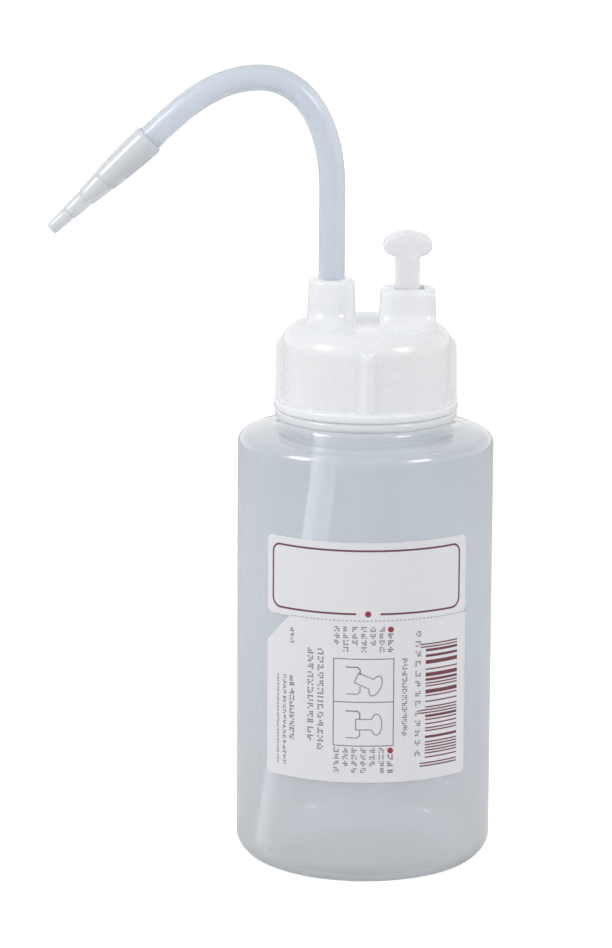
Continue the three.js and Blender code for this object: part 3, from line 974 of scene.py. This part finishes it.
def pictogram(base_v, lean):
    """The cock in its boss, on its side: the boss at the left and the lever's head at the right."""
    turn = math.radians(lean)

    def placed(points):
        cos, sin = math.cos(turn), math.sin(turn)
        return [(-0.9 + u * cos - v * sin, base_v + u * sin + v * cos) for u, v in points]

    width = 0.19
    boss = [(-5.0, base_v + 3.3), (-2.3, base_v + 3.3), (-1.7, base_v + 2.7), (-1.7, base_v + 1.5)]
    mirrored = [(u, 2 * base_v - v) for u, v in boss]
    head = ellipse(3.2, 0, 1.3, 2.6, 120, -120, 14)
    stem_end = [(2.0, -1.3), (-1.8, -1.3), (-1.8, 1.3)]
    lever = placed([(-1.8, 1.3), (2.0, 1.3), *head, *stem_end])
    return stroke(boss, width * 1.4) + stroke(mirrored, width) + stroke(lever, width)


def print_on(name, outlines, material):
    """A printed layer of the label, which carries nothing that can be read."""
    layer = wrapped(name, outlines, INK_R, INK_THICK)
    return dress(layer, material, "bottle_body", None)


def make_print():
    """Everything printed on the label.

    A place on it is (u, v): u along the wall to the right of the label's middle, v above the ground.
    """
    rng = random.Random(5)
    maroon = ink("maroon_ink", (0.13, 0.03, 0.045), (0.22, 0.07, 0.09))
    red = ink("red_ink", (0.28, 0.02, 0.04), (0.36, 0.05, 0.07))
    grey = ink("grey_ink", (0.17, 0.12, 0.15), (0.27, 0.21, 0.25))
    faint = ink("perforation_shade", (0.34, 0.36, 0.38), (0.42, 0.44, 0.46))

    # Rounded frame with a gap in its lower side, where a plain dot sits.
    frame_line = [
        (-3.0, 68.5),
        *arc(-22.6, 70.9, 2.4, 270, 180, 8),
        *arc(-22.9, 81.8, 2.1, 180, 90, 8),
        *arc(22.4, 81.8, 2.1, 90, 0, 8),
        *arc(22.1, 70.9, 2.4, 0, -90, 8),
        (3.3, 68.5),
    ]
    print_on("label_frame", stroke(frame_line, 0.46), maroon)
    print_on("label_dots", [disc(0.1, 68.5, 0.75), disc(5.6, 64.7, 0.72), disc(5.7, 34.9, 0.72)], red)
    print_on("label_stripes", stripes(rng, 14.6, 24.1, 30.2, 60.6), maroon)

    box = [(-8.1, 36.1), (6.4, 36.1), (6.4, 57.5), (-8.1, 57.5), (-8.1, 36.1)]
    lines = stroke(box, 0.2) + stroke([(-8.1, 46.9), (6.4, 46.9)], 0.2)
    lines += pictogram(52.2, -24) + pictogram(41.4, 0)
    print_on("label_pictograms", lines, grey)

    text = greeked(rng, 12.6, 31.5, 63.8, 2.45, 1.5)
    text += greeked(rng, 9.2, 37.1, 57.4, 1.5, 1.35)
    for column in range(6):
        u = 3.55 - 2.17 * column
        text += greeked(rng, u, 58.3 + 1.4 * (column % 2), 65.4, 1.65, 1.35)
        text += greeked(rng, u, 28.4 + 1.4 * (column % 3 == 1), 35.6, 1.65, 1.35)
    text += greeked(rng, -11.3, 33.6, 59.6, 1.95, 1.6)
    text += greeked(rng, -13.9, 35.2, 59.6, 1.95, 1.6)
    print_on("label_greeked_text", text, grey)
    small = greeked(rng, -19.0, 60, 64, 1.4, 1.1)
    small += greeked(rng, -19.0, 35, 52, 1.6, 1.4)
    small += greeked(rng, -21.2, 29, 52, 1.25, 1.0)
    small += greeked(rng, -23.2, 29, 52, 0.8, 0.65)
    small += greeked(rng, 5.65, 58.6, 63.7, 1.65, 1.4) + greeked(rng, 5.75, 28.6, 33.9, 1.65, 1.4)
    print_on("label_greeked_headings", small, maroon)

    holes = []
    for k in range(-19, 28):
        holes.append(bar(k - 0.25, LABEL_TEAR_Z + 0.02, k + 0.25, LABEL_TEAR_Z + 0.24))
    print_on("label_perforation", holes, faint)


def make_labels():
    """The label's two panels on either side of the tear line, and their print."""
    film = label_film()
    half = LABEL_HALF * BODY_R
    upper = rounded(-half, LABEL_TEAR_Z, half, LABEL_TOP_Z, 1.6)
    name_panel = wrapped("name_panel", [upper], LABEL_R, LABEL_THICK)
    dress(name_panel, film, "bottle_body", "label_film", "name_label")
    top = LABEL_TEAR_Z - 0.02
    cut = 7
    corner = 1.2
    foot = LABEL_BOTTOM_Z + corner
    outline = [
        *arc(half - corner, foot, corner, -90, 0, LABEL_CORNER_STEPS),
        (half, top),
        (-half + cut, top),
        (-half, top - cut),
        *arc(-half + corner, foot, corner, 180, 270, LABEL_CORNER_STEPS),
    ]
    instruction_panel = wrapped("instruction_panel", [outline], LABEL_R, LABEL_THICK)
    dress(instruction_panel, film, "bottle_body", "label_film", "instruction_label")
    make_print()


# ---- assembly ----

make_camera()
make_floor()
make_light()
make_bottle()
make_cap()
make_gasket()
make_tube()
make_tip()
make_cock()
make_labels()
